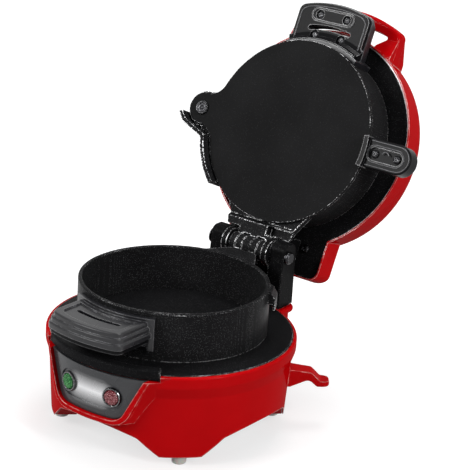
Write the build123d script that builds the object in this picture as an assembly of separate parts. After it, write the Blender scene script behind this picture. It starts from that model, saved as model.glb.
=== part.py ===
from build123d import *
import os
from math import cos, radians, sin

# A breakfast sandwich maker, in millimetres, stood on its feet with the lid and rings swung open.
# The origin is on the table under the axis of the food rings. The front faces -Y.
# The upper parts are drawn where they lie when the machine is shut, and then swung open.

# Driving dimensions
RING_R = 57.0  # outside radius of both food rings, set by a standard muffin
RING_WALL = 2.5
DECK = 59.0  # height of the flange that the bottom ring stands on
BOTTOM_RING_TOP = 88.7
PLATE_BOTTOM = 90.0  # underside of the cooking plate
PLATE_THICK = 2.5
PLATE_R = 58.0
TOP_RING_BOTTOM = 93.3
TOP_RING_TOP = 115.6
LID_SEAM = 114.6  # lower edge of the lid
LID_TOP = 147.5
LID_R = 71.0  # rim of the lid; its wall narrows upwards
LID_TOP_R = 68.6  # where the wall turns into the dome
LID_Y = -1.5  # the lid's own axis lies a little in front of the rings
RIM_WALL = 1.0  # the lid's wall where the heating plate is let into it
BOWL_R = 75.0  # rim of the base
FLANGE_R = 72.6  # lower heating plate
UPPER_FLANGE_R = 69.2
DISC_R = 51.0  # raised disc of both heating plates
SHELL = 2.3  # moulded walls
HINGE_Y = 75.6
HINGE_Z = 89.3
UPPER_PLATE_SCREWS = ((-21.5, 66.3), (21.5, 66.3), (-13.0, -63.0), (13.0, -63.0))
UPPER_PLATE_BOTTOM = 116.5  # sheet of the upper heating plate, let into the lid's rim
UPPER_PLATE_TOP = 118.1
LID_ARM_SEAT = 114.3  # outer face of the bracket that carries the lid
LID_ARM_SCREWS = ((-7.0, 75.5), (7.0, 75.5))
RING_OPEN = 113.8  # degrees from shut to the pose drawn, for the ring and its plate
LID_OPEN = 115.0  # the same for the lid
PIN_R = 2.5
PIN_FIT = 0.05  # radial running clearance on the hinge pin and the plate's rivet
KNUCKLE_R = 6.2
POST_INSIDE = 17.5
POST_OUTSIDE = 28.2
POST_SCREWS = ((-13.5, 75.6), (-4.5, 75.6), (4.5, 75.6), (13.5, 75.6))
BOX_HALF = 29.5  # half width of the box behind the bowl that holds the posts
BOX_BACK = 83.2
BOX_LIP = 2.2  # how far the box's rolled rim stands out
BOX_TOP = 57.0
PIVOT_X = -67.4  # rivet that the cooking plate swings on
RIVET_R = 3.0
FOOT_CIRCLE_R = 64.0
LEG_ANGLES = (45, 135, 225, 315)
COVER_SCREWS = (20, 160, 200, 340)
COVER_SCREW_R = 65.0
LEDGE_SCREW_R = 67.6  # screws under the ledge that hold the lower heating plate
SHIELD_SCREWS = (15, 105, 195, 285)
SHIELD_SCREW_R = 59.0
LEG_BOTTOM = 5.5
HANDLE_HALF = 27.0  # half width of both ring handles
HANDLE_FRONT = 86.0
LAMP_ANGLE = 12.4  # degrees either side of the front
LAMP_Z = 40.3
PANEL_R = 75.0  # front face of the indicator panel
GLAND_Z = 46.8  # centre of the cord's bush
BORDER = 2.6  # width of the raised rim round the panel
BORDER_R = 77.4
HINGE_AXIS = Axis((0, HINGE_Y, HINGE_Z), (1, 0, 0))

os.makedirs("parts", exist_ok=True)


# Shapes used all over

def outline(*points):
    """A closed flat outline of (u, v) points, where a third number rounds that corner."""
    face = make_face(Polyline(*[point[:2] for point in points], close=True))
    for u, v, radius in [point for point in points if len(point) == 3]:
        corner = face.vertices().sort_by_distance((u, v, 0))[0]
        face = fillet(corner, radius)
    return face


def spin(face):
    """Turns an outline of (radius, height) once round the rings' axis."""
    return revolve(Plane.XZ * face, Axis.Z)


def band(inner, outer, bottom, top):
    return spin(outline((inner, bottom), (outer, bottom), (outer, top), (inner, top)))


def upright(face, bottom, top):
    return extrude(Pos(0, 0, bottom) * face, amount=top - bottom)


def across(face, left, right):
    """Extrudes an outline of (y, z) along X."""
    return extrude(Plane.YZ.offset(left) * face, amount=right - left)


def lengthwise(face, front, back):
    """Extrudes an outline of (x, z) along Y."""
    return extrude(Plane.XZ.offset(-back) * face, amount=back - front)


def box(left, right, front, back, bottom, top):
    middle = ((left + right) / 2, (front + back) / 2, (bottom + top) / 2)
    return Pos(*middle) * Box(right - left, back - front, top - bottom)


def rod(start, end, radius):
    plane = Plane(origin=start, z_dir=Vector(*end) - Vector(*start))
    return extrude(plane * Circle(radius), amount=(Vector(*end) - Vector(*start)).length)


def cross_rod(left, right, radius):
    """A cylinder on the hinge axis."""
    return rod((left, HINGE_Y, HINGE_Z), (right, HINGE_Y, HINGE_Z), radius)


def polar(radius, angle, height=0.0):
    return (radius * cos(radians(angle)), radius * sin(radians(angle)), height)


def sector(inner, outer, start, sweep):
    """A flat piece of a ring, from angle start through sweep degrees."""
    rim = CenterArc((0, 0), outer, start, sweep)
    bore = CenterArc((0, 0), inner, start, sweep)
    return make_face([rim, bore, Line(rim @ 0, bore @ 0), Line(rim @ 1, bore @ 1)])


def facing(angle, radius, height):
    """A plane on the base's wall whose Z looks straight out."""
    out = Vector(*polar(1, angle))
    return Plane(origin=polar(radius, angle, height), x_dir=(0, 0, 1), z_dir=out)


def turned(plane, *points):
    """Turns an outline of (radius, distance out) round the normal of a plane."""
    return plane * revolve(Plane.XZ * outline(*points), Axis.Z)


def pan_screw(head, shank, head_height, length, place, up=True):
    """A round-headed screw with its head's seat at place, pointing up or down."""
    body = revolve(Plane.XZ * outline(
        (0, -head_height), (head * 0.7, -head_height), (head, -head_height * 0.45), (head, 0),
        (shank, 0), (shank, length), (0, length)), Axis.Z)
    cross = Pos(0, 0, -head_height) * (Box(head * 1.1, 0.7, 0.9) + Box(0.7, head * 1.1, 0.9))
    body = body - cross
    return Pos(*place) * (body if up else Rot(180, 0, 0) * body)


def opened(shape, angle):
    """Swings a shut upper part back about the hinge pin."""
    return shape.rotate(HINGE_AXIS, -angle)


# Base

def housing_wall():
    """The bowl's wall with its rolled rim and the inner ledge that carries the heating plate."""
    return spin(outline(
        (72.9, 57.4), (BOWL_R, 57.4, 1.6), (BOWL_R, 50.5, 5), (72.6, 43.5, 8), (70.3, LEG_BOTTOM),
        (68.0, LEG_BOTTOM), (70.2, 43.0), (70.4, 53.6), (66.0, 53.6), (66.0, 56.0), (72.9, 56.0)))


def skirt_gap():
    """The arched gap between two legs, cut through the wall on the +X side."""
    arch = ThreePointArc((29, 16), (0, 21), (-29, 16))
    sides = Polyline((-29, 16), (-40.2, LEG_BOTTOM), (-40.6, -1), (40.6, -1), (40.2, LEG_BOTTOM), (29, 16))
    face = make_face([arch, sides])
    for side in (-1, 1):
        corner = face.vertices().sort_by_distance((side * 29, 16, 0))[0]
        face = fillet(corner, 5)
    return across(face, 45, 85)


def leg():
    """The inside of one leg: a floor and walls behind the skirt's lobe, on the +X side."""
    wedge = across(outline((-12.4, LEG_BOTTOM, 2), (12.4, LEG_BOTTOM, 2), (24, 16), (24, 19.5),
                           (-24, 19.5), (-24, 16)), 50, 80)
    hollow = across(outline((-10.2, LEG_BOTTOM + SHELL), (10.2, LEG_BOTTOM + SHELL), (21, 16), (21, 21),
                            (-21, 21), (-21, 16)), 50, 80)
    block = band(57.5, 69.2, LEG_BOTTOM, 19.5) & wedge
    inside = band(59.8, 67.4, LEG_BOTTOM + SHELL, 21) & hollow
    socket = rod((FOOT_CIRCLE_R, 0, 0), (FOOT_CIRCLE_R, 0, 10), 2.0)
    return block - inside - socket


def panel_outline(grow):
    """The U shape of the indicator panel, in X and height; grow moves its sides outwards."""
    return outline((-36.5 - grow, 57), (36.5 + grow, 57), (22.5 + grow, 27 - grow, 10 + grow),
                   (-22.5 - grow, 27 - grow, 10 + grow))


def panel_border():
    """The raised rim round the panel, with a flank on each side that runs out into the bowl."""
    raised = lengthwise(panel_outline(BORDER), -85, -50) & band(60, BORDER_R, 20, 60)
    for side in (-1, 1):
        sections = []
        levels = ((25.5, 23.0, 71.2, 23.0), (57.4, 36.5 + BORDER, 74.9, 38.5))
        for height, crest, end_radius, end_angle in levels:
            crest_y = -(BORDER_R ** 2 - crest ** 2) ** 0.5
            end_x, end_y, _ = polar(end_radius, -90 + end_angle)
            corners = [(crest - 2, crest_y + 0.2), (crest, crest_y), (end_x, end_y), (end_x - 1.6, end_y + 1.6),
                       (crest - 4, crest_y + 4.2)]
            sections.append(Pos(0, 0, height) * outline(*[(side * x, y) for x, y in corners]))
        raised += loft(sections, ruled=True)
    return raised & (band(70.0, 90, 20, 54) + band(72.9, 90, 54, 57.4))


def rear_box(shrink):
    """The box at the back of the base that holds the hinge posts; shrink gives its inside."""
    half = BOX_HALF - shrink
    back = BOX_BACK - shrink
    side = outline((60, BOX_TOP - shrink), (back, BOX_TOP - shrink), (back, 37.5), (78, 26 + shrink),
                   (60, 26 + shrink))
    plan = outline((-half, 55), (half, 55), (half, back, 6 - shrink), (-half, back, 6 - shrink))
    return across(side, -half, half) & upright(plan, 20, 60)


def rear_lip():
    """The rolled rim round the top of the rear box."""
    half = BOX_HALF + BOX_LIP
    back = BOX_BACK + BOX_LIP
    plan = outline((-half, 60), (half, 60), (half, back, 7), (-half, back, 7))
    lip = upright(plan, BOX_TOP - 4.0, BOX_TOP)
    return fillet(lip.edges().filter_by(lambda e: (e @ 0.5).Y > 61), 1.8)


def cord_hook(angle):
    """A flat bracket moulded on the wall, that the cord is wound behind."""
    side = outline((68, 24.5), (73, 24.5, 2), (84, 29.5, 4), (89, 25.2, 2), (96.5, 25.2, 1.2),
                   (96.5, 28.4, 1.2),
                   (91, 28.6, 2), (85.5, 34, 4), (72, 35.5, 2), (68, 35.5))
    plan = outline((66, -6), (80, -5.2), (97, -5.2, 5), (97, 5.2, 5), (80, 5.2), (66, 6))
    hook = lengthwise(side, -8, 8) & upright(plan, 20, 40)
    return Rot(0, 0, angle) * hook


def base_housing():
    wall = housing_wall()
    for turn in range(4):
        wall -= Rot(0, 0, 90 * turn) * skirt_gap()
    shell = wall + panel_border()
    for turn in range(4):
        shell += Rot(0, 0, 45 + 90 * turn) * leg()
    cavity = spin(outline((0, 0), (68.0, LEG_BOTTOM), (70.2, 43.0), (70.4, 53.6), (0, 53.6)))
    shell += rear_box(0) - cavity - band(0, 72.9, 50, 60)
    shell -= rear_box(SHELL)
    shell += rear_lip() - band(0, 72.9, 50, 60)
    shell += (cord_hook(38) + cord_hook(142)) - cavity
    for angle in COVER_SCREWS:
        boss = rod(polar(COVER_SCREW_R, angle, 23.4), polar(COVER_SCREW_R, angle, 42), 4.6)
        pilot = rod(polar(COVER_SCREW_R, angle, 23.4), polar(COVER_SCREW_R, angle, 36), 1.6)
        shell += boss
        shell -= pilot
    pocket = lengthwise(panel_outline(0), -90, -60) & band(73.0, 92, 20, 60)
    apron_notch = upright(sector(65, 80, -124, 68), 54.0, 60)
    rear_notch = box(-POST_OUTSIDE - 0.2, POST_OUTSIDE + 0.2, 60, 81.0, 48, 53.2)
    shell -= pocket + apron_notch + rear_notch
    for side in (-1, 1):
        left, right = sorted((side * (POST_INSIDE - 0.2), side * (POST_OUTSIDE + 0.2)))
        shell -= box(left, right, 69.1, 81.0, 50, 60)
        shell -= turned(facing(-90 + side * LAMP_ANGLE, 66, LAMP_Z), (0, 0), (4.9, 0), (4.9, 12), (0, 12))
    for x, y in POST_SCREWS:
        shell -= rod((x, y, 50), (x, y, 56.4), 1.5)
    for angle in LEG_ANGLES:
        shell -= rod(polar(LEDGE_SCREW_R, angle, 50), polar(LEDGE_SCREW_R, angle, 58), 1.5)
    shell -= rod((0, 80, GLAND_Z), (0, 95, GLAND_Z), 3.9)
    return shell


def feet():
    pads = []
    for turn in range(4):
        foot = spin(outline((0, 0), (4.2, 0, 0.8), (4.6, LEG_BOTTOM, 0.5), (2.0, LEG_BOTTOM),
                            (2.0, LEG_BOTTOM + SHELL), (3.0, LEG_BOTTOM + SHELL), (1.6, LEG_BOTTOM + 5),
                            (0, LEG_BOTTOM + 5)))
        x, y, _ = polar(FOOT_CIRCLE_R, 45 + 90 * turn)
        pads.append(Pos(x, y, 0) * foot)
    return pads


def bottom_cover():
    """Pressed steel floor with a stiffening step, vents and four dimples for its screws."""
    cover = spin(outline((0, 24.2), (44, 24.2), (47, 22.2), (67.8, 22.2), (67.8, 23.4), (47.4, 23.4),
                         (44.4, 25.4), (0, 25.4)))
    for row, radius in enumerate((20, 32)):
        count = 8 + 4 * row
        for step in range(count):
            angle = 360 / count * step
            cover -= Rot(0, 0, angle) * Pos(radius, 0, 24) * Box(8, 2.4, 6)
    for angle in COVER_SCREWS:
        cover -= rod(polar(COVER_SCREW_R, angle, 20), polar(COVER_SCREW_R, angle, 26), 1.6)
    return cover


def cover_screws():
    return [pan_screw(2.8, 1.6, 1.8, 11, polar(COVER_SCREW_R, angle, 22.2)) for angle in COVER_SCREWS]


def plate_screws():
    """Screws from under the ledge into the heating plate's flange."""
    return [pan_screw(2.4, 1.5, 1.6, 3.6, polar(LEDGE_SCREW_R, angle, 53.6)) for angle in LEG_ANGLES]


def lower_heating_plate():
    plate = spin(outline(
        (0, 62), (DISC_R, 62, 1.2), (DISC_R, DECK), (58.5, DECK), (FLANGE_R, 57.7, 0.5), (FLANGE_R, 56.0),
        (54, 56.0), (52, 47.5), (0, 47.5)))
    lip = outline((66.5, 54.4), (74.3, 54.4, 1), (74.3, 60.6, 1.5), (68.5, 60.6, 1.5), (66.5, 58.0))
    plate += revolve(Plane.XZ * lip, Axis.Z, 67).rotate(Axis.Z, -123.5)
    plate -= band(34.6, 41.4, 47, 50.8)
    plate -= Pos(0, 0, 50.8) * Torus(38, 3.4)
    plate -= box(-29, 29, 68.8, 80, 50, 62)
    for angle in LEG_ANGLES:
        plate -= rod(polar(LEDGE_SCREW_R, angle, 50), polar(LEDGE_SCREW_R, angle, 57.2), 1.5)
    for angle in SHIELD_SCREWS:
        plate -= rod(polar(SHIELD_SCREW_R, angle, 50), polar(SHIELD_SCREW_R, angle, 57.6), 1.3)
    return plate


def heater(radius, tube, height, terminal_end):
    """A tubular heater bent to an open ring, with both ends turned away from its plate."""
    start = 100
    sweep = 340
    loop = revolve(Plane.XZ * Pos(radius, 0) * Circle(tube), Axis.Z, sweep).rotate(Axis.Z, start)
    loop = Pos(0, 0, height) * loop
    for angle in (start, start + sweep):
        top = polar(radius, angle, height)
        end = polar(radius, angle, terminal_end)
        loop += rod(top, end, tube * 0.8)
        loop += Pos(*top) * Sphere(tube)
    return loop


def heat_shield():
    pan = spin(outline((0, 36.0), (55.6, 36.0), (55.6, 55.2), (62.0, 55.2), (62.0, 56.0), (54.8, 56.0),
                       (54.8, 36.8), (0, 36.8)))
    pan -= rod((0, 0, 30), (0, 0, 40), 9.5)
    for angle in SHIELD_SCREWS:
        pan -= rod(polar(SHIELD_SCREW_R, angle, 50), polar(SHIELD_SCREW_R, angle, 58), 1.3)
    for angle in (100, 80):
        pan -= rod(polar(38, angle, 30), polar(38, angle, 40), 4.5)
    return pan


def heat_shield_screws():
    return [pan_screw(2.2, 1.3, 1.4, 2.4, polar(SHIELD_SCREW_R, angle, 55.2)) for angle in SHIELD_SCREWS]


def thermostat():
    body = rod((0, 0, 38), (0, 0, 47.5), 8.0)
    for side in (-1, 1):
        body += box(side * 4 - 0.4, side * 4 + 0.4, -2, 2, 31, 38)
    return body


def thermal_fuse():
    fuse = rod((14, -18, 45.4), (26, -18, 45.4), 2.1)
    return fuse + rod((10, -18, 45.4), (30, -18, 45.4), 0.5)


def indicator_panel():
    face = lengthwise(panel_outline(-0.3), -90, -60) & band(73.0, PANEL_R, 20, 54.0)
    inset = lengthwise(outline((-23, LAMP_Z - 7.8, 7.7), (23, LAMP_Z - 7.8, 7.7), (23, LAMP_Z + 7.8, 7.7),
                               (-23, LAMP_Z + 7.8, 7.7)), -90, -60)
    face -= inset & band(PANEL_R - 0.8, 92, 20, 60)
    for side in (-1, 1):
        face -= turned(facing(-90 + side * LAMP_ANGLE, 70, LAMP_Z), (0, 0), (5.9, 0), (5.9, 9), (0, 9))
    return face


def lens(side):
    """A round window with a stem through the housing's wall."""
    return turned(facing(-90 + side * LAMP_ANGLE, 70, LAMP_Z),
                  (0, 0), (4.6, 0), (4.6, 5.0), (4.0, 5.9), (2.4, 6.4), (0, 6.6))


def lens_bezels():
    return [turned(facing(-90 + side * LAMP_ANGLE, 73, LAMP_Z),
                   (4.6, 0), (5.9, 0), (5.9, 2.2), (5.5, 2.8), (4.9, 2.6), (4.6, 2.0)) for side in (-1, 1)]


def indicator_lamps():
    return [turned(facing(-90 + side * LAMP_ANGLE, 57.4, LAMP_Z),
                   (0, 0), (2.6, 0), (2.6, 9.6), (1.4, 12.2), (0, 12.6))
            for side in (-1, 1)]


def handle_plan(inset):
    """Plan of a ring handle: flat sides, a front rounded about the ring and a back on the ring's wall."""
    half = HANDLE_HALF - inset
    front = HANDLE_FRONT - inset
    shoulder = front - 4.4
    root = (RING_R ** 2 - half ** 2) ** 0.5
    face = make_face([
        Line((half, -root), (half, -shoulder)),
        ThreePointArc((half, -shoulder), (0, -front), (-half, -shoulder)),
        Line((-half, -shoulder), (-half, -root)),
        ThreePointArc((-half, -root), (0, -RING_R), (half, -root)),
    ])
    for side in (-1, 1):
        corner = face.vertices().sort_by_distance((side * half, -shoulder, 0))[0]
        face = fillet(corner, 5)
    return face


def handle_slot(width):
    """The curved slot through a ring handle."""
    slot = sector(69.5 - width / 2, 69.5 + width / 2, -102, 24)
    for angle in (-102, -78):
        x, y, _ = polar(69.5, angle)
        slot += Pos(x, y) * Circle(width / 2)
    return slot


HANDLE_SCREWS = [(x, y) for x in (-10.0, 10.0) for y in (-64.0, -77.0)]


def ridge(inset, bottom, top):
    """One rounded layer of a ring handle."""
    layer = upright(handle_plan(inset), bottom, top)
    rims = [e for e in layer.edges().group_by(Axis.Z)[-1] if (e @ 0.5).Y < -RING_R - 2]
    return fillet(rims, 1.0)


def ring_handle(bottom):
    """A moulded grip with three stacked ridges and a dished top, and a pad that hugs the ring."""
    grip = ridge(0, bottom, bottom + 3.6) + ridge(1.0, bottom + 3.5, bottom + 6.7)
    grip += ridge(2.0, bottom + 6.6, bottom + 9.6)
    grip += upright(sector(RING_R, RING_R + 3.2, -118.3, 56.6), bottom - 8, bottom + 11.5)
    dish = upright(handle_plan(6.0) - Circle(RING_R + 6.0), bottom + 8.7, bottom + 12)
    tab_room = upright(handle_tab_plan(0.3), bottom, bottom + 2.2)
    grip -= dish + tab_room + upright(handle_slot(3.0), bottom - 1, bottom + 12)
    for x, y in HANDLE_SCREWS:
        grip -= rod((x, y, bottom), (x, y, bottom + 7), 1.4)
    return grip


def handle_tab_plan(grow):
    """The metal tongue on the ring inside its handle."""
    plan = outline((-17 - grow, -50), (-17 - grow, -80 - grow, 4), (17 + grow, -80 - grow, 4), (17 + grow, -50))
    return plan - Circle(RING_R - 0.5)


def handle_tab(bottom):
    tab = upright(handle_tab_plan(0), bottom, bottom + 2.0) - upright(handle_slot(4.0), bottom - 1, bottom + 3)
    for x, y in HANDLE_SCREWS:
        tab -= rod((x, y, bottom - 1), (x, y, bottom + 3), 1.8)
    return tab


def handle_cover(bottom):
    """The lower plate of a ring handle: counterbores for its screws, a foot that curves down the
    ring's pad, and a raised frame round the two outer screws."""
    cover = upright(handle_plan(0.8), bottom - 2.6, bottom)
    cover -= band(0, RING_R + 3.4, bottom - 4, bottom + 1)
    near = RING_R + 3.4
    foot = outline((near, bottom - 7.5), (near + 0.9, bottom - 7.5), (near + 1.7, bottom - 4.9),
                   (near + 3.4, bottom - 3.2), (near + 6.4, bottom - 2.5), (near, bottom - 2.5))
    cover += revolve(Plane.XZ * foot, Axis.Z, 50).rotate(Axis.Z, -115)
    frame = Pos(0, -77) * (SlotOverall(32, 8.8) - SlotOverall(30, 6.8))
    cover += upright(frame, bottom - 3.2, bottom - 2.5)
    cover -= upright(handle_slot(3.0), bottom - 4, bottom + 1)
    for x, y in HANDLE_SCREWS:
        cover -= rod((x, y, bottom - 1), (x, y, bottom + 1), 1.6)
        cover -= rod((x, y, bottom - 9), (x, y, bottom - 1.0), 3.0)
    return cover


def handle_screws(bottom):
    return [pan_screw(2.6, 1.4, 1.4, 7.5, (x, y, bottom - 1.0)) for x, y in HANDLE_SCREWS]


def knuckles(spans, block_front, block_bottom, block_top):
    """Hinge knuckles on the pin's axis, each with a block that joins it to its leaf."""
    shape = None
    for left, right in spans:
        eye = cross_rod(left, right, KNUCKLE_R)
        eye += box(left, right, block_front, HINGE_Y, block_bottom, block_top)
        shape = eye if shape is None else shape + eye
    bore = cross_rod(spans[0][0] - 1, spans[-1][1] + 1, PIN_R + PIN_FIT)
    return shape - bore


def side_fin():
    """A small hooked fin on the side of the bottom ring."""
    profile = outline((RING_R - 1, 88.2), (RING_R + 1.6, 88.2, 1), (RING_R + 4.4, 83.5, 2), (RING_R + 4.4, 77.0),
                      (RING_R + 3.2, 77.0), (RING_R + 3.0, 80.5), (RING_R - 1, 80.5))
    return revolve(Plane.XZ * profile, Axis.Z, 12).rotate(Axis.Z, 24)


def bottom_ring():
    ring = spin(outline((RING_R - RING_WALL, DECK), (RING_R, DECK), (RING_R, BOTTOM_RING_TOP, 0.9),
                        (RING_R - RING_WALL, BOTTOM_RING_TOP, 0.9)))
    leaf = outline((-22, 50), (22, 50), (9.3, 68.6), (-9.3, 68.6))
    wedge = across(outline((50, 76), (56, 76), (68.6, 83.1), (68.6, 88.2), (50, 88.2)), -24, 24)
    tongue = (upright(leaf, 70, 90) & wedge) - band(0, RING_R - 1, 60, 95)
    ring += tongue
    ring += knuckles([(-7.9, -3.1), (3.1, 7.9)], 66, 83.1, 88.2)
    ring += side_fin()
    ring += handle_tab(74.1)
    return ring


def hinge_posts():
    """Both posts on one foot plate, with a web behind whose top edge stops the lid's arms."""
    side = outline((69.3, 50.2), (80.8, 50.2), (80.8, BOX_TOP + 0.2), (84.8, BOX_TOP + 0.2), (84.5, 97.3, 5),
                   (71.6, 97.3, 5), (69.3, 66))
    bracket = across(side, POST_INSIDE, POST_OUTSIDE) + across(side, -POST_OUTSIDE, -POST_INSIDE)
    outer = [e for e in bracket.edges().filter_by(Axis.X, reverse=True)
             if abs(abs((e @ 0.5).X) - POST_OUTSIDE) < 0.1 and (e @ 0.5).Z > 60]
    bracket = fillet(outer, 1.0)
    bracket += across(outline((78.6, 62), (84.4, 62), (84.4, 75.9), (78.6, 78.5)), -POST_INSIDE, POST_INSIDE)
    bracket += box(-27.0, 27.0, 69.3, 80.8, 50.2, 53.0)
    bracket -= cross_rod(-30, 30, PIN_R)
    for x, y in POST_SCREWS:
        bracket -= rod((x, y, 49), (x, y, 54), 1.5)
    return bracket


def hinge_post_screws():
    return [pan_screw(2.6, 1.5, 1.6, 6.0, (x, y, 50.2)) for x, y in POST_SCREWS]


def hinge_pin():
    end = -POST_OUTSIDE - 2.4
    pin = cross_rod(end, POST_OUTSIDE, PIN_R)
    pin += Plane(origin=(POST_OUTSIDE, HINGE_Y, HINGE_Z), z_dir=(1, 0, 0)) * revolve(
        Plane.XZ * outline((0, 0), (4.0, 0), (4.0, 1.6), (3.0, 2.6), (0, 2.6)), Axis.Z)
    groove = cross_rod(end + 1.0, end + 1.8, PIN_R + 1) - cross_rod(end + 1.0, end + 1.8, PIN_R - 0.6)
    return pin - groove


def hinge_pin_clip():
    left = -POST_OUTSIDE - 1.3
    clip = cross_rod(left, left + 0.6, 4.8) - cross_rod(left - 1, left + 1, PIN_R - 0.5)
    return clip - box(left - 1, left + 1, HINGE_Y - 1.6, HINGE_Y + 1.6, HINGE_Z - 6, HINGE_Z)


def cord_gland():
    profile = outline((2.6, 0), (4.8, 0), (4.8, 3.7), (3.9, 3.7), (3.9, 6.0), (5.6, 6.0), (5.2, 8),
                      (4.2, 13), (2.6, 13))
    return Plane(origin=(0, 84, GLAND_Z), z_dir=(0, 1, 0)) * revolve(Plane.XZ * profile, Axis.Z)


# Upper ring

def stop_wall_path():
    """Centre line of the wall that the cooking plate's edge and lobe rest against."""
    lobe = CenterArc((PIVOT_X, 0), 12.8, 155, -52)
    rim = CenterArc((0, 0), 60.4, 163.5, -31)
    return [lobe, Line(lobe @ 1, rim @ 0), rim]


def top_ring():
    ring = spin(outline((RING_R - RING_WALL, TOP_RING_BOTTOM, 0.6), (RING_R, TOP_RING_BOTTOM, 0.6),
                        (RING_R, TOP_RING_TOP), (RING_R - RING_WALL, TOP_RING_TOP)))
    wall = trace(Curve() + stop_wall_path(), line_width=2.6)
    ear_plan = Circle(PLATE_R) + Pos(PIVOT_X, 0) * Circle(11.6)
    ear_plan = fillet([v for v in ear_plan.vertices() if v.X < -50], 12)
    ear_plan = ear_plan & Pos(-71, 0) * Rectangle(58, 92)
    ear_plan += outline((-66, 0), (-50, 0), (-42, 41), (-56, 24), (-66, 12.0))
    ear = upright(ear_plan + wall, TOP_RING_BOTTOM, TOP_RING_BOTTOM + 4) - band(0, RING_R - 1, 80, 120)
    ring += ear + upright(wall, 84.4, TOP_RING_BOTTOM + 4)
    leaf = outline((-31, 48), (31, 48), (23.7, 60.0, 3), (21.7, 67.4, 3), (12.8, 68.6), (-12.8, 68.6),
                   (-21.7, 67.4, 3), (-23.7, 60.0, 3))
    side = across(outline((44, TOP_RING_BOTTOM), (58.6, TOP_RING_BOTTOM), (60.5, 89.6), (68.6, 89.6),
                          (68.6, 95.6), (60, 98), (44, 98)), -35, 35)
    ring += (upright(leaf, 85, 100) & side) - band(0, RING_R - 1, 80, 120)
    ring -= box(7.5, 26, 60, 66, 85, 95.2)
    for left, right in ((12.9, 30), (-30, -12.9)):
        ring -= cross_rod(left, right, 10.4)
    for left, right in ((12.9, 17.6), (-17.6, -12.9)):
        ring -= box(left, right, 65.6, 72, 80, 100)
    ring += knuckles([(-12.8, -8.3), (-2.7, 2.7), (8.3, 12.8)], 66, 89.6, 95.4)
    ring += handle_tab(104.1)
    return ring - rod((PIVOT_X, 0, 80), (PIVOT_X, 0, 120), RIVET_R)


def plate_pivot():
    """A shouldered rivet, with its head under the plate and its closed end above the ear."""
    top = TOP_RING_BOTTOM + 4
    profile = outline((0, 89.2), (1.6, 89.2), (2.0, 88.4), (4.2, 88.6), (4.6, PLATE_BOTTOM - 0.1),
                      (RIVET_R, PLATE_BOTTOM - 0.1), (RIVET_R, top), (4.6, top), (4.0, top + 1.4),
                      (0, top + 1.8))
    return Pos(PIVOT_X, 0, 0) * revolve(Plane.XZ * profile, Axis.Z)


# Cooking plate

def cooking_plate():
    disc = Circle(PLATE_R) + Pos(PIVOT_X, 0) * Circle(10.0)
    necks = disc.vertices()
    disc = fillet([v for v in necks if v.X < -50], 12)
    disc += outline((50, -7), (87, -7, 6), (87, 7, 6), (50, 7))
    plate = upright(disc, PLATE_BOTTOM, PLATE_BOTTOM + PLATE_THICK)
    plate -= rod((PIVOT_X, 0, 80), (PIVOT_X, 0, 100), RIVET_R + PIN_FIT)
    for x in (65.9, 81.5):
        plate -= rod((x, 0, 80), (x, 0, 100), 1.6)
    return plate


def plate_handle():
    plan = outline((57.8, -9.3, 1), (91.4, -9.3, 9.2), (91.4, 9.3, 9.2), (57.8, 9.3, 1))
    body = upright(plan, 87.4, 97.0)
    body = fillet(body.edges().group_by(Axis.Z)[0] + body.edges().group_by(Axis.Z)[-1], 1.0)
    body -= band(0, 57.8, 80, 100)
    lip = upright(sector(57.8, 61.0, -9.1, 18.2), 84.6, 92.0)
    tab = outline((50, -7), (87, -7, 6), (87, 7, 6), (50, 7))
    tab_room = upright(tab, PLATE_BOTTOM, PLATE_BOTTOM + PLATE_THICK)
    body = body + lip - tab_room - upright(Circle(PLATE_R), PLATE_BOTTOM, PLATE_BOTTOM + PLATE_THICK)
    body -= upright(outline((61.8, -4.2, 4.1), (85.6, -4.2, 4.1), (85.6, 4.2, 4.1), (61.8, 4.2, 4.1)), 80, 89.0)
    for x in (65.9, 81.5):
        body -= rod((x, 0, 88), (x, 0, 95.5), 1.6)
    return body


def plate_handle_screws():
    return [pan_screw(2.6, 1.6, 1.5, 6.4, (x, 0, 89.0)) for x in (65.9, 81.5)]


# Lid

def dome(wall):
    """The lid's dome; wall is how far inside its surface to lie."""
    half = outline((0, 90), (LID_R + 0.6 - wall, 90), (LID_R - wall, 112), (LID_TOP_R - wall, 135.5, 14),
                   (61.0 - wall * 0.7, 144.6 - wall * 0.7, 9), (42, 147.0 - wall, 60), (0, LID_TOP - wall))
    return Pos(0, LID_Y, 0) * spin(half)


def lid_box(wall):
    """The box over the hinge at the back of the lid."""
    half = 37.4 - wall
    back = 85.0 - wall
    top = 129.5 - wall
    plan = outline((-half, 30), (half, 30), (half, back, 7 - wall), (-half, back, 7 - wall))
    side = outline((30, 100), (back, 100), (back, top, 6 - wall), (30, top))
    return upright(plan, 100, 140) & across(side, -50, 50)


def lid_ring(inner, bottom, top):
    """A level ring inside the lid's wall, left out over the hinge box."""
    ring = Pos(0, LID_Y, 0) * band(inner, LID_R - 1.2, bottom, top)
    return ring - box(-35.0, 35.0, 50, 90, 100, 130)


def lid_housing():
    seam_cut = box(-120, 120, -120, 120, 80, LID_SEAM)
    shell = dome(0) + lid_box(0)
    shell -= dome(SHELL) + lid_box(SHELL)
    shell = shell - seam_cut + lid_ring(66.0, UPPER_PLATE_TOP, 120.0)
    shell -= (dome(RIM_WALL) + lid_box(RIM_WALL)) & box(-120, 120, -120, 120, 90, UPPER_PLATE_TOP)
    for x, y in UPPER_PLATE_SCREWS + LID_ARM_SCREWS:
        shell += rod((x, y, UPPER_PLATE_TOP), (x, y, 134), 4.2) & (dome(1.0) + lid_box(1.0))
        shell -= rod((x, y, 112), (x, y, 129.0), 1.5)
    for side in (-1, 1):
        shell -= turned(lid_handle_plane(side), (0, -2), (3.2, -2), (3.2, -0.1), (1.4, -0.1), (1.4, 5), (0, 5))
    return shell


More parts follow.
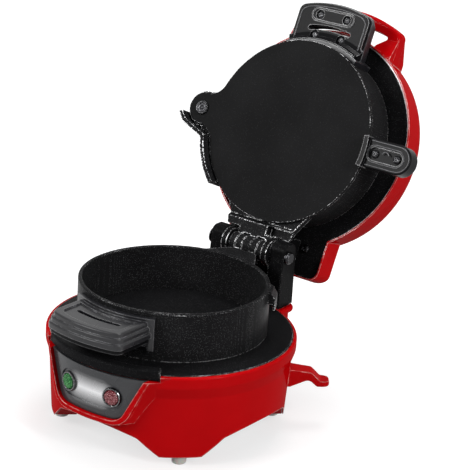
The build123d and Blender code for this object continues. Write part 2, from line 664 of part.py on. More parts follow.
def lid_handle_plane(side):
    """Where a screw goes out through the lid's wall into one end of the handle."""
    return Pos(0, LID_Y, 0) * facing(-90 + side * 28.6, LID_R - SHELL - 1.6, 124.4)


def lid_handle():
    """A loop at the front of the lid, with slanting webs at its ends and a gap for the fingers."""
    outer = make_face([
        Line((38.8, -50), (38.8, -79.6)), ThreePointArc((38.8, -79.6), (0, -88.6), (-38.8, -79.6)),
        Line((-38.8, -79.6), (-38.8, -50)), Line((-38.8, -50), (38.8, -50))])
    for side in (-1, 1):
        outer = fillet(outer.vertices().sort_by_distance((side * 38.8, -79.6, 0))[0], 5)
    gap = make_face([
        Line((24.6, -69.6), (31.6, -75.6)), ThreePointArc((31.6, -75.6), (0, -80.4), (-31.6, -75.6)),
        Line((-31.6, -75.6), (-24.6, -69.6)), Line((-24.6, -69.6), (-20, -60)), Line((-20, -60), (20, -60)),
        Line((20, -60), (24.6, -69.6))])
    for side in (-1, 1):
        gap = fillet(gap.vertices().sort_by_distance((side * 31.6, -75.6, 0))[0], 1.5)
    loop = upright(outer, 118.9, 127.6)
    loop = fillet(loop.edges().filter_by(lambda e: (e @ 0.5).Y < -70 and abs((e @ 0.5).Z - 123.25) > 4), 2.0)
    web = outline((-50, 115.2), (-64, 115.2), (-76, 119.4), (-76, 127.0), (-63, 133.6), (-50, 133.6))
    loop += across(web, 20, 38.4) + across(web, -38.4, -20)
    loop -= upright(gap, 110, 140)
    loop -= dome(0)
    for side in (-1, 1):
        loop -= turned(lid_handle_plane(side), (0, 0), (1.4, 0), (1.4, 8), (0, 8))
    return loop


def lid_handle_screws():
    return [turned(lid_handle_plane(side), (0, -1.7), (2.0, -1.7), (2.7, -0.8), (2.7, -0.1), (1.4, -0.1),
                   (1.4, 8), (0, 8)) for side in (-1, 1)]


def upper_heating_plate():
    """A disc that closes the ring, a flange that closes the lid, and a tail over the hinge box."""
    tail = outline((-36.2, 45), (36.2, 45), (36.2, 83.8, 5.8), (-36.2, 83.8, 5.8))
    plate = Pos(0, LID_Y, 0) * band(49.0, UPPER_FLANGE_R - 0.5, UPPER_PLATE_BOTTOM, UPPER_PLATE_TOP)
    plate += Pos(0, LID_Y, 0) * band(60.0, UPPER_FLANGE_R, 116.9, UPPER_PLATE_TOP)
    plate += upright(tail, UPPER_PLATE_BOTTOM, UPPER_PLATE_TOP) - band(0, 49.4, 100, 120)
    plate += spin(outline((0, 110), (DISC_R, 110, 1.5), (DISC_R, 116.6), (DISC_R, UPPER_PLATE_TOP),
                          (49.4, UPPER_PLATE_TOP), (49.4, 111.6), (0, 111.6)))
    for x, y in UPPER_PLATE_SCREWS + LID_ARM_SCREWS:
        plate -= rod((x, y, 110), (x, y, 120), 1.5)
    return plate


def upper_plate_screws():
    return [pan_screw(2.9, 1.5, 1.5, 12, (x, y, UPPER_PLATE_BOTTOM)) for x, y in UPPER_PLATE_SCREWS]


def lid_hinge_screws():
    return [pan_screw(2.9, 1.5, 1.5, 14, (x, y, LID_ARM_SEAT)) for x, y in LID_ARM_SCREWS]


def upper_thermostat():
    body = rod((0, 0, 111.6), (0, 0, 117.6), 8.0)
    for side in (-1, 1):
        body += box(side * 4 - 0.4, side * 4 + 0.4, -2, 2, 117.6, 124)
    return body


def lid_hinge_arms():
    """Two arms on the hinge pin, joined by a plate under the lid's heating plate."""
    side = outline((67.2, 96), (62.3, 110), (62.3, UPPER_PLATE_BOTTOM), (82.4, UPPER_PLATE_BOTTOM), (82.4, 96))
    bracket = box(-17.2, 17.2, 62.3, 82.4, LID_ARM_SEAT, UPPER_PLATE_BOTTOM)
    for left, right in ((13.3, 17.2), (-17.2, -13.3)):
        bracket += across(side, left, right) + cross_rod(left, right, 8.4)
        arm = outline((67.2, HINGE_Z), (HINGE_Y + 8.4, HINGE_Z), (82.6, 96), (67.2, 96))
        bracket += across(arm, left, right)
    bracket -= cross_rod(-20, 20, PIN_R + PIN_FIT)
    for x, y in LID_ARM_SCREWS:
        bracket -= rod((x, y, 112), (x, y, 120), 1.5)
    return bracket


BASE_PARTS = {
    "base_housing": base_housing,
    "feet": feet,
    "bottom_cover": bottom_cover,
    "bottom_cover_screws": cover_screws,
    "heating_plate_screws": plate_screws,
    "lower_heating_plate": lower_heating_plate,
    "lower_element": lambda: heater(38, 3.2, 50.8, 30),
    "heat_shield": heat_shield,
    "heat_shield_screws": heat_shield_screws,
    "thermostat": thermostat,
    "thermal_fuse": thermal_fuse,
    "indicator_panel": indicator_panel,
    "green_lens": lambda: lens(-1),
    "red_lens": lambda: lens(1),
    "lens_bezels": lens_bezels,
    "indicator_lamps": indicator_lamps,
    "bottom_ring": bottom_ring,
    "bottom_ring_handle": lambda: ring_handle(74.1),
    "bottom_handle_cover": lambda: handle_cover(74.1),
    "bottom_handle_screws": lambda: handle_screws(74.1),
    "hinge_posts": hinge_posts,
    "hinge_post_screws": hinge_post_screws,
    "hinge_pin": hinge_pin,
    "hinge_pin_clip": hinge_pin_clip,
    "cord_gland": cord_gland,
}

RING_PARTS = {
    "top_ring": top_ring,
    "top_ring_handle": lambda: ring_handle(104.1),
    "top_handle_cover": lambda: handle_cover(104.1),
    "top_handle_screws": lambda: handle_screws(104.1),
    "plate_pivot": plate_pivot,
    "cooking_plate": cooking_plate,
    "plate_handle": plate_handle,
    "plate_handle_screws": plate_handle_screws,
}

LID_PARTS = {
    "lid_housing": lid_housing,
    "lid_handle": lid_handle,
    "lid_handle_screws": lid_handle_screws,
    "upper_heating_plate": upper_heating_plate,
    "upper_plate_screws": upper_plate_screws,
    "upper_element": lambda: heater(36, 2.6, 114.2, 126),
    "upper_thermostat": upper_thermostat,
    "lid_hinge_arms": lid_hinge_arms,
    "lid_hinge_screws": lid_hinge_screws,
}


def save(node, shape, angle):
    """Writes one node swung back by angle; a list of solids becomes one group."""
    pieces = shape if isinstance(shape, list) else [shape]
    pieces = [opened(piece, angle) for piece in pieces]
    if isinstance(shape, list):
        result = Compound(children=[solid for piece in pieces for solid in piece.solids()])
    else:
        result = pieces[0]
    export_step(result, f"parts/{node}.step")


for group, angle in ((BASE_PARTS, 0.0), (RING_PARTS, RING_OPEN), (LID_PARTS, LID_OPEN)):
    for node, make in group.items():
        save(node, make(), angle)
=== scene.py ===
import math
import bmesh
import bpy
from mathutils import Matrix, Vector


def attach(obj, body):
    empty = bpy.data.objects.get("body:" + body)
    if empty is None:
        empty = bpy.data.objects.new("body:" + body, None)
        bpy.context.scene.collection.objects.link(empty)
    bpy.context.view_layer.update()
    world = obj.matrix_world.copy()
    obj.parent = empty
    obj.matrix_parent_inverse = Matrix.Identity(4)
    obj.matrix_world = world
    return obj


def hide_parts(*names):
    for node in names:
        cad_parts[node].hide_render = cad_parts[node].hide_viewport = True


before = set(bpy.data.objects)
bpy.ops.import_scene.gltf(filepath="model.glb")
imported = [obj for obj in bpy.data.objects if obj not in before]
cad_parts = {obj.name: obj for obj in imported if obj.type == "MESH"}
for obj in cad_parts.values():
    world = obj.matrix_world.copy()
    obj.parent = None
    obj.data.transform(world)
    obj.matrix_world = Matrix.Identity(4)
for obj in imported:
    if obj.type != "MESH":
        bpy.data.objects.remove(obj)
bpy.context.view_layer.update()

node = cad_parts

# Camera: a long lens about a metre away, a little above the rings and to the machine's right,
# held with a slight tilt, as the photograph was taken.
FOCAL_LENGTH = 143.8
DISTANCE = 1.0754
LOOKED_AT = Vector((0.0420, 0, 0.12693))
scene = bpy.context.scene
turn = math.radians(35.87)
height = math.radians(19.77)
roll = math.radians(3.73)
backward = Vector((math.sin(turn) * math.cos(height), -math.cos(turn) * math.cos(height),
                   math.sin(height)))
level = Vector((math.cos(turn), math.sin(turn), 0))
upward = backward.cross(level)
right = math.cos(roll) * level + math.sin(roll) * upward
above = -math.sin(roll) * level + math.cos(roll) * upward
camera_data = bpy.data.cameras.new("camera")
camera_data.sensor_width = 36
camera_data.lens = FOCAL_LENGTH
camera_data.clip_start = 0.05
camera = bpy.data.objects.new("camera", camera_data)
scene.collection.objects.link(camera)
turned = Matrix((right, above, backward)).transposed().to_4x4()
camera.matrix_world = Matrix.Translation(LOOKED_AT + backward * DISTANCE) @ turned
scene.camera = camera
scene.view_settings.view_transform = "Standard"


# Studio: a white table top and sky, which the camera and every mirror see as plain white, with the
# machine's soft shadow on the table; near the machine the table's glow is weaker, a painted shade round
# it. A broad soft box stands to the left of the camera, a narrow upright one to the right, and a third
# hangs overhead.
def wire(tree, kind, links=None, **settings):
    """Adds a node with its settings, and fills its inputs by name with links or values."""
    made = tree.nodes.new(kind)
    for name, value in settings.items():
        setattr(made, name, value)
    for socket, source in (links or {}).items():
        if isinstance(source, bpy.types.NodeSocket):
            tree.links.new(source, made.inputs[socket])
        else:
            made.inputs[socket].default_value = source
    return made


def seen_directly(tree):
    """One where the camera, a mirror or a clear piece looks at the surface, and zero for its light."""
    path = wire(tree, "ShaderNodeLightPath")
    mirrored = wire(tree, "ShaderNodeMath",
                    {0: path.outputs["Is Camera Ray"], 1: path.outputs["Is Glossy Ray"]}, operation="MAXIMUM")
    return wire(tree, "ShaderNodeMath", {0: mirrored.outputs[0], 1: path.outputs["Is Transmission Ray"]},
                operation="MAXIMUM").outputs[0]


SKY_FILL = 0.22
# Painted shade: the table's glow, as camera and mirrors see it, is weaker from SHADOW_FAR in to SHADOW_NEAR.
SHADOW_NEAR, SHADOW_FAR = 0.06, 0.15
WHITE_NEAR, WHITE_FAR = 0.64, 0.98
world = bpy.data.worlds.new("sky")
scene.world = world
world.use_nodes = True
world.node_tree.nodes.clear()
white_sky = wire(world.node_tree, "ShaderNodeBackground", {"Color": (1, 1, 1, 1), "Strength": 1.0})
sky_light = wire(world.node_tree, "ShaderNodeBackground",
                 {"Color": (0.95, 0.97, 1, 1), "Strength": SKY_FILL})
both = wire(world.node_tree, "ShaderNodeMixShader",
            {0: seen_directly(world.node_tree), 1: sky_light.outputs[0], 2: white_sky.outputs[0]})
wire(world.node_tree, "ShaderNodeOutputWorld", {"Surface": both.outputs[0]})

table_white = bpy.data.materials.new("table_white")
table_white.use_nodes = True
shader = table_white.node_tree.nodes["Principled BSDF"]
shader.inputs["Base Color"].default_value = (0.36, 0.36, 0.36, 1)
shader.inputs["Roughness"].default_value = 0.8
shader.inputs["Specular IOR Level"].default_value = 0.0
shader.inputs["Emission Color"].default_value = (1, 1, 1, 1)
spot = wire(table_white.node_tree, "ShaderNodeTexCoord").outputs["Object"]
from_machine = wire(table_white.node_tree, "ShaderNodeVectorMath", {0: spot}, operation="LENGTH")
glow_with_painted_shade = wire(table_white.node_tree, "ShaderNodeMapRange",
                 {"Value": from_machine.outputs["Value"], "From Min": SHADOW_NEAR, "From Max": SHADOW_FAR,
                  "To Min": WHITE_NEAR, "To Max": WHITE_FAR})
glow = wire(table_white.node_tree, "ShaderNodeMath",
            {0: seen_directly(table_white.node_tree), 1: glow_with_painted_shade.outputs[0]}, operation="MULTIPLY")
table_white.node_tree.links.new(glow.outputs[0], shader.inputs["Emission Strength"])
table_mesh = bpy.data.meshes.new("table_top")
table_mesh.from_pydata([(-3, -3, 0), (3, -3, 0), (3, 5, 0), (-3, 5, 0)], [], [(0, 1, 2, 3)])
table_mesh.materials.append(table_white)
table_top = bpy.data.objects.new("table_top", table_mesh)
scene.collection.objects.link(table_top)


def soft_box(name, place, aim, width, length, power):
    """A soft box that faces a point, its long side upright."""
    data = bpy.data.lights.new(name, "AREA")
    data.shape = "RECTANGLE"
    data.size = width
    data.size_y = length
    data.energy = power
    made = bpy.data.objects.new(name, data)
    scene.collection.objects.link(made)
    facing = (Vector(place) - Vector(aim)).to_track_quat("Z", "Y")
    made.matrix_world = Matrix.Translation(place) @ facing.to_matrix().to_4x4()


soft_box("front_left", (-0.8, -1.3, 0.95), (0, 0, 0.1), 0.7, 0.7, 16.5)
soft_box("right_strip", (1.5, -0.2, 0.9), (0, 0.05, 0.1), 0.22, 0.9, 15)
soft_box("overhead", (-0.1, 0.5, 1.6), (0, 0.05, 0.1), 0.5, 0.5, 7)


# Base housing: the red bowl with its four legs, its cord hooks and the box behind that holds the
# hinge posts, all one injection moulding in glossy heat-proof plastic, polished in the mould.
def material(name, colour, **sockets):
    """A finish with its plain socket values set, and its nodes ready for more."""
    made = bpy.data.materials.new(name)
    made.use_nodes = True
    shader = made.node_tree.nodes["Principled BSDF"]
    shader.inputs["Base Color"].default_value = colour + (1,)
    for socket, value in sockets.items():
        shader.inputs[socket.replace("_", " ")].default_value = value
    return made, made.node_tree, shader


def new_group(name, inputs, outputs):
    """An empty shader node group with number inputs and typed outputs."""
    made = bpy.data.node_groups.new(name, "ShaderNodeTree")
    for label, value in inputs.items():
        made.interface.new_socket(label, in_out="INPUT", socket_type="NodeSocketFloat").default_value = value
    for label, kind in outputs.items():
        made.interface.new_socket(label, in_out="OUTPUT", socket_type="NodeSocket" + kind)
    return made, made.nodes.new("NodeGroupInput"), made.nodes.new("NodeGroupOutput")


def object_place(tree):
    return wire(tree, "ShaderNodeTexCoord").outputs["Object"]


def between(tree, value, low, high, low_out=0.0, high_out=1.0):
    """Spreads a value over a range, and stops at its ends."""
    return wire(tree, "ShaderNodeMapRange", {"Value": value, "From Min": low, "From Max": high,
                                             "To Min": low_out, "To Max": high_out}).outputs[0]


soft_edge, given, out = new_group("soft_edge", {"Radius": 0.0005, "Wear Width": 0.0005, "Patch Scale": 700.0,
                                                "Bare Stretches": 0.0},
                                  {"Normal": "Vector", "Edge": "Float", "Patchy Edge": "Float"})
rounding = wire(soft_edge, "ShaderNodeBevel", {"Radius": given.outputs["Radius"]}, samples=6)
rubbing = wire(soft_edge, "ShaderNodeBevel", {"Radius": given.outputs["Wear Width"]}, samples=6)
straight = wire(soft_edge, "ShaderNodeNewGeometry").outputs["Normal"]
bend = wire(soft_edge, "ShaderNodeVectorMath", {0: rubbing.outputs[0], 1: straight}, operation="DOT_PRODUCT")
on_edge = between(soft_edge, bend.outputs["Value"], 0.985, 0.90)
patches = wire(soft_edge, "ShaderNodeTexNoise", {"Vector": object_place(soft_edge),
                                                 "Scale": given.outputs["Patch Scale"], "Detail": 3.0})
fine = wire(soft_edge, "ShaderNodeMath", {0: on_edge, 1: between(soft_edge, patches.outputs[0], 0.42, 0.62)},
            operation="MULTIPLY")
stretches = wire(soft_edge, "ShaderNodeTexNoise",
                 {"Vector": object_place(soft_edge), "Scale": 55.0, "Detail": 2.0})
left_bare = wire(soft_edge, "ShaderNodeMath", {0: between(soft_edge, stretches.outputs[0], 0.42, 0.60, 1, 0),
                                               1: given.outputs["Bare Stretches"]}, operation="MULTIPLY")
kept = wire(soft_edge, "ShaderNodeMath", {0: 1.0, 1: left_bare.outputs[0]}, operation="SUBTRACT")
# The patchy edge mask is wear on metal parts; on plastic and lenses it carries painted highlights.
patchy_wear_and_highlight = wire(soft_edge, "ShaderNodeMath", {0: fine.outputs[0], 1: kept.outputs[0]}, operation="MULTIPLY")
for label, source in (("Normal", rounding.outputs[0]), ("Edge", on_edge), ("Patchy Edge", patchy_wear_and_highlight.outputs[0])):
    soft_edge.links.new(source, out.inputs[label])

mould_grain, given, out = new_group("mould_grain", {"Scale": 900.0}, {"Height": "Float", "Shade": "Float"})
pebbles = wire(mould_grain, "ShaderNodeTexNoise", {"Vector": object_place(mould_grain),
                                                   "Scale": given.outputs["Scale"], "Detail": 4.0})
clouds = wire(mould_grain, "ShaderNodeTexNoise",
              {"Vector": object_place(mould_grain), "Scale": 28.0, "Detail": 3.0})
mould_grain.links.new(pebbles.outputs[0], out.inputs["Height"])
mould_grain.links.new(clouds.outputs[0], out.inputs["Shade"])


def placed(tree, group, **values):
    """Puts a node group into a finish with this finish's own values."""
    made = wire(tree, "ShaderNodeGroup", node_tree=group)
    for label, value in values.items():
        made.inputs[label.replace("_", " ")].default_value = value
    return made


def two_tone(tree, mask, first, second):
    """One colour that turns into another where a mask is high; either may come from a node."""
    first, second = (colour + (1,) if isinstance(colour, tuple) else colour for colour in (first, second))
    return wire(tree, "ShaderNodeMix", {0: mask, 6: first, 7: second}, data_type="RGBA").outputs[2]


def uneven(tree, shader, noise, low, high):
    """Lets the roughness wander between two values with a noise."""
    tree.links.new(between(tree, noise, 0.3, 0.7, low, high), shader.inputs["Roughness"])


GRAIN_DEPTH = 0.0002


def roughened(tree, shader, edge, grain, strength):
    """Lays a grain's height over softened edges, as the finish's normal."""
    bump = wire(tree, "ShaderNodeBump",
                {"Strength": strength, "Distance": GRAIN_DEPTH, "Height": grain.outputs["Height"],
                 "Normal": edge.outputs["Normal"]})
    tree.links.new(bump.outputs[0], shader.inputs["Normal"])


def moulded(name, dark, light, rough, grain_scale, grain_strength, edge_radius=0.0006, edge_highlight=None,
            gloss=0.0, **sockets):
    """Moulded plastic: clouded colour, a mould's grain, soft edges, and painted highlights in lighter patches
    along them.
    """
    made, tree, shader = material(name, dark, **sockets)
    edge = placed(tree, soft_edge, Radius=edge_radius, Wear_Width=edge_radius, Patch_Scale=260.0,
                  Bare_Stretches=0.5)
    grain = placed(tree, mould_grain, Scale=grain_scale)
    clouded = two_tone(tree, between(tree, grain.outputs["Shade"], 0.35, 0.65), dark, light)
    # Painted highlight: patches along the edges take the lighter edge colour.
    edge_wear_and_highlight = two_tone(tree, edge.outputs["Patchy Edge"], clouded, edge_highlight or light)
    tree.links.new(edge_wear_and_highlight, shader.inputs["Base Color"])
    tree.links.new(between(tree, edge.outputs["Edge"], 0, 1, gloss, 1), shader.inputs["Coat Weight"])
    uneven(tree, shader, grain.outputs["Shade"], rough * 0.85, rough * 1.2)
    roughened(tree, shader, edge, grain, grain_strength)
    return made


def finish(looks, *names):
    """Gives carried-over pieces their finish."""
    for name in names:
        node[name].data.materials.clear()
        node[name].data.materials.append(looks)


# The red's pale pink edge colour is a painted highlight along its rims.
glossy_red = moulded("glossy_red", (0.54, 0.0015, 0.003), (0.60, 0.002, 0.004), 0.14, 380.0, 0.03,
                     edge_radius=0.0009, edge_highlight=(1.0, 0.55, 0.50), gloss=0.05, Specular_IOR_Level=0.0,
                     Coat_Roughness=0.05)
finish(glossy_red, "base_housing")

# Feet: four pads of clear silicone rubber, each moulded with a barbed stem that snaps up through the
# sole of its leg.
clear_rubber = moulded("clear_rubber", (0.62, 0.60, 0.56), (0.70, 0.68, 0.64), 0.42, 900.0, 0.05,
                       Subsurface_Weight=0.4, Subsurface_Scale=0.004)
finish(clear_rubber, "feet")


# Bottom cover and heat shield: pressed from zinc-coated sheet steel, with the faint grain of the
# rolling mill, held up by round-headed screws.
def sheet_metal(name, colour, rough, grain_scale=(1400.0, 60.0, 60.0), **sockets):
    made, tree, shader = material(name, colour, Metallic=1.0, **sockets)
    edge = placed(tree, soft_edge, Radius=0.0003)
    stretched = wire(tree, "ShaderNodeMapping", {"Vector": object_place(tree), "Scale": grain_scale})
    lines = wire(tree, "ShaderNodeTexNoise", {"Vector": stretched.outputs[0], "Scale": 1.0, "Detail": 3.0})
    uneven(tree, shader, lines.outputs[0], rough * 0.8, rough * 1.3)
    tree.links.new(two_tone(tree, between(tree, lines.outputs[0], 0.3, 0.7), colour,
                            tuple(0.82 * c for c in colour)), shader.inputs["Base Color"])
    tree.links.new(edge.outputs["Normal"], shader.inputs["Normal"])
    return made


zinc_sheet = sheet_metal("zinc_sheet", (0.50, 0.51, 0.52), 0.36)
finish(zinc_sheet, "bottom_cover", "heat_shield")


# Cross-headed screws: cold-headed, thread-rolled and blackened steel. One screw is turned here and
# stands, each time at another angle, at every place where a screw shows.
HINGE = Vector((0, 0.0756, 0.0893))


def swung(point, degrees):
    """Where a point of the shut machine lies once its part is swung back about the hinge."""
    return HINGE + Matrix.Rotation(math.radians(-degrees), 3, "X") @ (Vector(point) - HINGE)


def turned_solid(name, profile, steps=28):
    """A closed solid turned from an outline of (radius, height) that starts and ends on its axis."""
    shape = bmesh.new()
    rail = [shape.verts.new((radius, 0, z)) for radius, z in profile]
    edges = [shape.edges.new(pair) for pair in zip(rail, rail[1:])]
    bmesh.ops.spin(shape, geom=rail + edges, cent=(0, 0, 0), axis=(0, 0, 1), angle=math.tau, steps=steps)
    bmesh.ops.remove_doubles(shape, verts=shape.verts, dist=1e-6)
    bmesh.ops.recalc_face_normals(shape, faces=shape.faces)
    mesh = bpy.data.meshes.new(name)
    shape.to_mesh(mesh)
    shape.free()
    made = bpy.data.objects.new(name, mesh)
    scene.collection.objects.link(made)
    return made


def evaluated(made, name):
    """A plain object from one with modifiers, which goes."""
    bpy.context.view_layer.update()
    ready = made.evaluated_get(bpy.context.evaluated_depsgraph_get())
    mesh = bpy.data.meshes.new_from_object(ready)
    mesh.name = name
    bpy.data.objects.remove(made)
    plain = bpy.data.objects.new(name, mesh)
    scene.collection.objects.link(plain)
    return plain


def cross_head(name, head, tall, shank, length):
    """One screw with its seat at the origin and its head upwards."""
    blank = turned_solid(name + "_blank", [
        (0, tall), (head * 0.45, tall * 0.97), (head * 0.72, tall * 0.86), (head * 0.92, tall * 0.6),
        (head, tall * 0.28), (head, 0), (shank, 0), (shank, -length), (0, -length)])
    wings = []
    for along, over in ((head * 0.62, head * 0.14), (head * 0.14, head * 0.62)):
        wing = bpy.data.meshes.new("wing")
        top, low = tall * 1.2, tall * 0.25
        corners = [(sx * along * k, sy * over * k, z) for z, k in ((low, 0.7), (top, 1.0))
                   for sx, sy in ((-1, -1), (1, -1), (1, 1), (-1, 1))]
        walls = [(0, 1, 5, 4), (1, 2, 6, 5), (2, 3, 7, 6), (3, 0, 4, 7)]
        wing.from_pydata(corners, [], [(3, 2, 1, 0), (4, 5, 6, 7)] + walls)
        cutter = bpy.data.objects.new("wing", wing)
        scene.collection.objects.link(cutter)
        cut = blank.modifiers.new("wing", "BOOLEAN")
        cut.object = cutter
        cut.solver = "EXACT"
        wings.append(cutter)
    made = evaluated(blank, name)
    for cutter in wings:
        bpy.data.objects.remove(cutter)
    return made


def node_inputs(tree, **kinds):
    """Names a geometry tree's inputs, and gives its input and output nodes."""
    tree.interface.new_socket("Geometry", in_out="INPUT", socket_type="NodeSocketGeometry")
    for label, kind in kinds.items():
        tree.interface.new_socket(label.replace("_", " "), in_out="INPUT", socket_type="NodeSocket" + kind)
    tree.interface.new_socket("Geometry", in_out="OUTPUT", socket_type="NodeSocketGeometry")
    return tree.nodes.new("NodeGroupInput"), tree.nodes.new("NodeGroupOutput")


def dressed(tree, pieces, given, out):
    """Ends a geometry tree: its pieces are made real and given their finish."""
    solid = wire(tree, "GeometryNodeRealizeInstances", {0: pieces})
    looks = wire(tree, "GeometryNodeSetMaterial",
                 {"Geometry": solid.outputs[0], "Material": given.outputs["Finish"]})
    tree.links.new(looks.outputs[0], out.inputs[0])


set_out = bpy.data.node_groups.new("set_out_on_points", "GeometryNodeTree")
given, out = node_inputs(set_out, Piece="Object", Axis="Vector", Spin="Float", Seed="Int", Finish="Material")
piece = wire(set_out, "GeometryNodeObjectInfo", {"Object": given.outputs["Piece"]})
aligned = wire(set_out, "FunctionNodeAlignRotationToVector", {"Vector": given.outputs["Axis"]}, axis="Z")
about = wire(set_out, "FunctionNodeRandomValue",
             {"Min": 0.0, "Seed": given.outputs["Seed"]}, data_type="FLOAT")
set_out.links.new(given.outputs["Spin"], about.inputs[3])
spin = wire(set_out, "ShaderNodeCombineXYZ", {"Z": about.outputs[1]})
spun = wire(set_out, "FunctionNodeRotateRotation",
            {"Rotation": aligned.outputs[0], "Rotate By": spin.outputs[0]}, rotation_space="LOCAL")
standing = wire(set_out, "GeometryNodeInstanceOnPoints",
                {"Points": given.outputs["Geometry"], "Instance": piece.outputs["Geometry"],
                 "Rotation": spun.outputs[0]})
dressed(set_out, standing.outputs[0], given, out)


def with_tree(mesh, name, tree, **values):
    """Runs a geometry tree on points or lines, and gives back one plain piece."""
    made = bpy.data.objects.new(name + "_places", mesh)
    scene.collection.objects.link(made)
    modifier = made.modifiers.new("repeat", "NODES")
    modifier.node_group = tree
    for socket in tree.interface.items_tree:
        if socket.in_out == "INPUT" and socket.name in values:
            modifier[socket.identifier] = values[socket.name]
    return evaluated(made, name)


def repeated(name, tree, places, **values):
    mesh = bpy.data.meshes.new(name + "_places")
    mesh.from_pydata([tuple(place) for place in places], [], [])
    return with_tree(mesh, name, tree, **values)


def blackened_steel(name, colour, rough):
    made, tree, shader = material(name, colour, Metallic=1.0)
    edge = placed(tree, soft_edge, Radius=0.0002, Patch_Scale=2600.0)
    grain = placed(tree, mould_grain, Scale=2400.0)
    edge_wear_and_highlight = two_tone(tree, edge.outputs["Patchy Edge"], colour, (0.45, 0.45, 0.46))
    tree.links.new(edge_wear_and_highlight, shader.inputs["Base Color"])
    uneven(tree, shader, grain.outputs["Height"], rough * 0.8, rough * 1.3)
    roughened(tree, shader, edge, grain, 0.15)
    return made


black_steel = blackened_steel("black_steel", (0.022, 0.022, 0.024), 0.30)


def screws(node_name, body, seats, degrees, sizes, seed):
    """Puts real screws where a node's plain ones are; their heads face down on the shut machine.

    Seats are in millimetres; sizes are head radius, head height, shank radius and shank length."""
    pattern = cross_head(node_name + "_pattern", *[size / 1000 for size in sizes])
    axis = Matrix.Rotation(math.radians(-degrees), 3, "X") @ Vector((0, 0, -1))
    places = [swung([c / 1000 for c in seat], degrees) for seat in seats]
    made = repeated(node_name + "_made", set_out, places, Piece=pattern, Axis=axis, Spin=math.pi, Seed=seed,
                    Finish=black_steel)
    bpy.data.objects.remove(pattern)
    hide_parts(node_name)
    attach(made, body)


COVER_SCREW_R, COVER_LEVEL = 65.0, 22.2
screws("bottom_cover_screws", "base",
       [(COVER_SCREW_R * math.cos(math.radians(a)), COVER_SCREW_R * math.sin(math.radians(a)), COVER_LEVEL)
        for a in (20, 160, 200, 340)], 0, (2.8, 1.8, 1.6, 11), 3)
finish(black_steel, "heat_shield_screws", "heating_plate_screws", "hinge_post_screws")


# Heating plates: cast aluminium discs sprayed with a black non-stick coating, which is speckled with
# fine lighter grains. The lower plate's flange closes the bowl, the upper one's the lid.
coating_specks, given, out = new_group("coating_specks", {"Scale": 2600.0, "Share": 0.06},
                                       {"Speck": "Float", "Height": "Float"})
cells = wire(coating_specks, "ShaderNodeTexVoronoi", {"Vector": object_place(coating_specks),
                                                      "Scale": given.outputs["Scale"]})
dot = between(coating_specks, cells.outputs["Distance"], 0.34, 0.22)
drawn = wire(coating_specks, "ShaderNodeSeparateColor", {0: cells.outputs["Color"]})
chosen = wire(coating_specks, "ShaderNodeMath",
              {0: drawn.outputs[0], 1: given.outputs["Share"]}, operation="LESS_THAN")
speck = wire(coating_specks, "ShaderNodeMath", {0: dot, 1: chosen.outputs[0]}, operation="MULTIPLY")
orange = wire(coating_specks, "ShaderNodeTexNoise", {"Vector": object_place(coating_specks), "Scale": 1500.0,
                                                     "Detail": 4.0})
coating_specks.links.new(speck.outputs[0], out.inputs["Speck"])
coating_specks.links.new(orange.outputs[0], out.inputs["Height"])


def coated(name, colour, rough, speck_colour, share, wear, wear_width, bump=0.25):
    """Non-stick coating: dark, faintly speckled, with bright metal showing through where it wears on the
    sharpest rims.
    """
    made, tree, shader = material(name, colour, Specular_IOR_Level=0.02)
    edge = placed(tree, soft_edge, Radius=0.0004, Wear_Width=wear_width, Patch_Scale=1000.0,
                  Bare_Stretches=0.6)
    specks = placed(tree, coating_specks, Share=share)
    cloud = placed(tree, mould_grain, Scale=1200.0)
    lighter = tuple(1.5 * part for part in colour)
    ground = two_tone(tree, between(tree, cloud.outputs["Shade"], 0.3, 0.7), colour, lighter)
    speckled = two_tone(tree, specks.outputs["Speck"], ground, speck_colour)
    edge_wear_and_highlight = between(tree, edge.outputs["Patchy Edge"], 0.18, 0.5, 0, wear)
    tree.links.new(two_tone(tree, edge_wear_and_highlight, speckled, (0.85, 0.85, 0.86)), shader.inputs["Base Color"])
    tree.links.new(edge_wear_and_highlight, shader.inputs["Metallic"])
    uneven(tree, shader, cloud.outputs["Height"], rough * 0.85, rough * 1.15)
    roughened(tree, shader, edge, specks, bump)
    return made


nonstick = coated("nonstick_coating", (0.0065, 0.0065, 0.0070), 0.46, (0.095, 0.095, 0.097), 0.20,
                  wear=0.75, wear_width=0.0013)
finish(nonstick, "lower_heating_plate")

# Heating elements: a steel tube round a wire in packed powder below, an aluminium one above, bent to
# a ring and pressed against their plates; the steel has gone brown from heat.
browned_steel = sheet_metal("browned_steel", (0.22, 0.18, 0.15), 0.42, (300.0, 300.0, 300.0))
drawn_aluminium = sheet_metal("drawn_aluminium", (0.55, 0.55, 0.56), 0.34, (300.0, 300.0, 300.0))
finish(browned_steel, "lower_element")
finish(drawn_aluminium, "upper_element")

# Thermostats, thermal fuse and lamps: small bought parts in pale ceramic and nylon. The thermostats
# and the fuse sit against the plates they watch, the lamps behind the two windows.
pale_nylon = moulded("pale_nylon", (0.52, 0.49, 0.43), (0.60, 0.57, 0.51), 0.5, 700.0, 0.2,
                     Specular_IOR_Level=0.4)
finish(pale_nylon, "thermostat", "upper_thermostat", "thermal_fuse", "indicator_lamps")


# Indicator panel: a curved plate moulded in grey plastic with a fine metal flake, snapped into the
# pocket in the bowl's front. Its two round windows show when the plates are on and ready.
FIELD_X, FIELD_HALF, LENS_Z = 0.0085, 0.0098, 0.0403


